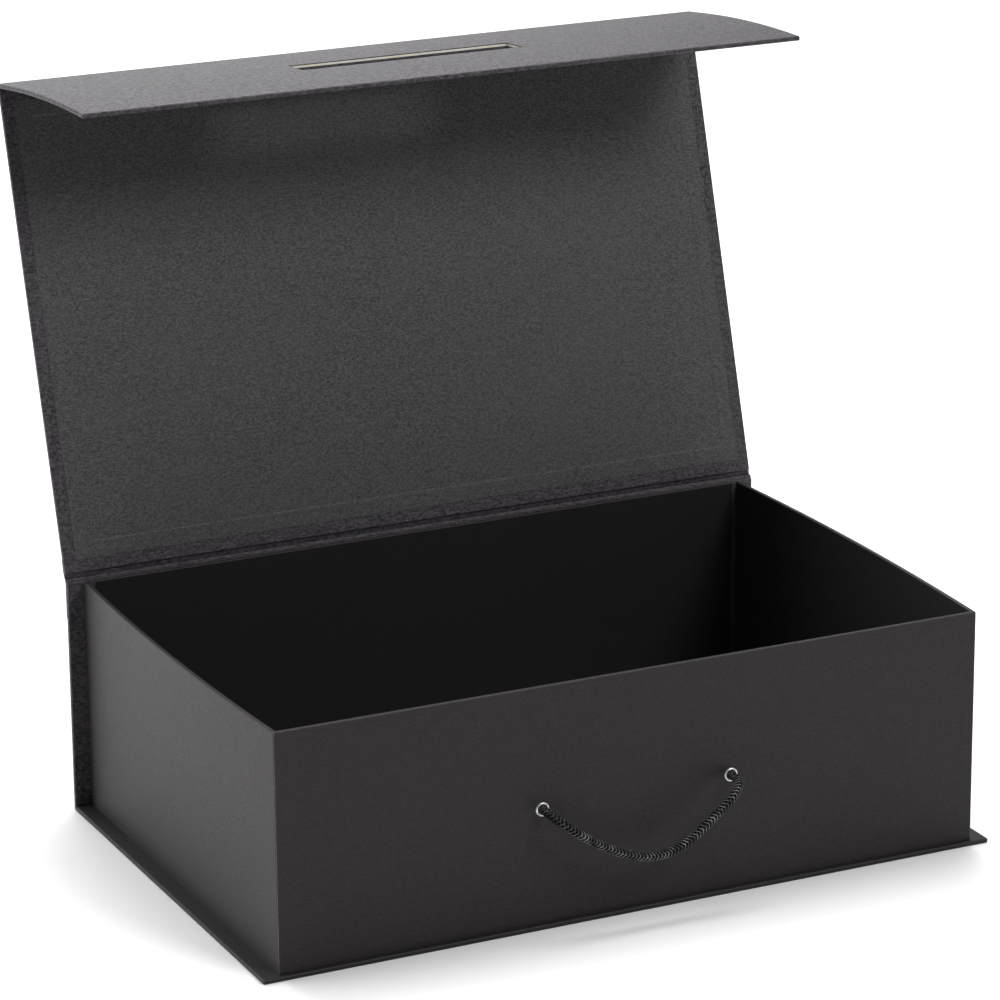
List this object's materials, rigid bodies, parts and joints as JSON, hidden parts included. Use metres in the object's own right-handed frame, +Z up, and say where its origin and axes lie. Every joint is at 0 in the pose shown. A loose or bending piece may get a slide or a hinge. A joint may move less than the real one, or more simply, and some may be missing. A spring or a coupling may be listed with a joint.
{
  "type": "gift box",
  "caption": "Black paper-covered rigid gift box: a tray with a lid hinged at the back, a slotted magnetic front flap and a rope carry handle.",
  "frame": {"origin": "centre of the underside of the box's footprint, on the surface it stands on", "axes": "+Z up, +X to the right seen from the front, and the front with the rope handle faces -Y"},
  "size_m": [0.408, 0.3538, 0.3878],
  "materials": {
    "greyboard": "matte",
    "outer_paper": "matte",
    "lining_paper": "matte",
    "glue": "satin",
    "nickel": "polished",
    "rope": "matte",
    "magnet": "satin"
  },
  "bodies": {
    "tray": {"base_board": "greyboard", "base_wrap": "outer_paper", "spine_board": "greyboard", "spine_wrap": "outer_paper", "spine_glue": "glue", "glue_sheet": "glue", "floor_board": "greyboard", "floor_liner": "lining_paper", "wall_front": "greyboard", "wall_back": "greyboard", "wall_left": "greyboard", "wall_right": "greyboard", "tray_wrap": "outer_paper", "corner_tab_front_left": "outer_paper", "corner_tab_front_right": "outer_paper", "corner_tab_back_left": "outer_paper", "corner_tab_back_right": "outer_paper", "tray_magnets": "magnet", "eyelet_left": "nickel", "eyelet_right": "nickel", "washer_left": "nickel", "washer_right": "nickel", "rope_stub_left": "rope", "rope_stub_right": "rope", "rope_knot_left": "rope", "rope_knot_right": "rope", "lid_hinge_strip": "outer_paper"},
    "lid": {"lid_board": "greyboard", "lid_wrap": "outer_paper", "lid_liner": "lining_paper"},
    "flap_fold": {"flap_fold_strip": "outer_paper"},
    "flap": {"flap_board": "greyboard", "flap_wrap": "outer_paper", "flap_liner": "lining_paper", "flap_magnets": "magnet"},
    "handle": {"rope_loop": "rope"}
  },
  "joints": [
    {"name": "lid_hinge", "type": "hinge", "parent": "tray", "child": "lid", "pos_m": [0, 0.13035, 0.1293], "axis": [-1, 0, 0], "range_deg": [-106.5, 73.5]},
    {"name": "flap_droop", "type": "hinge", "parent": "lid", "child": "flap_fold", "pos_m": [0, 0.20341, 0.37595], "axis": [-1, 0, 0], "range_deg": [-9, 13]},
    {"name": "flap_hinge", "type": "hinge", "parent": "flap_fold", "child": "flap", "pos_m": [0, 0.20395, 0.37778], "axis": [-1, 0, 0], "range_deg": [0, 90]},
    {"name": "handle_swing", "type": "hinge", "parent": "tray", "child": "handle", "pos_m": [0, -0.133, 0.0635], "axis": [-1, 0, 0], "range_deg": [0, 100], "deforming": ["rope_loop"]}
  ],
  "couplings": [
    {"joint": "flap_droop", "follows": "lid_hinge", "ratio": -0.11737}
  ]
}
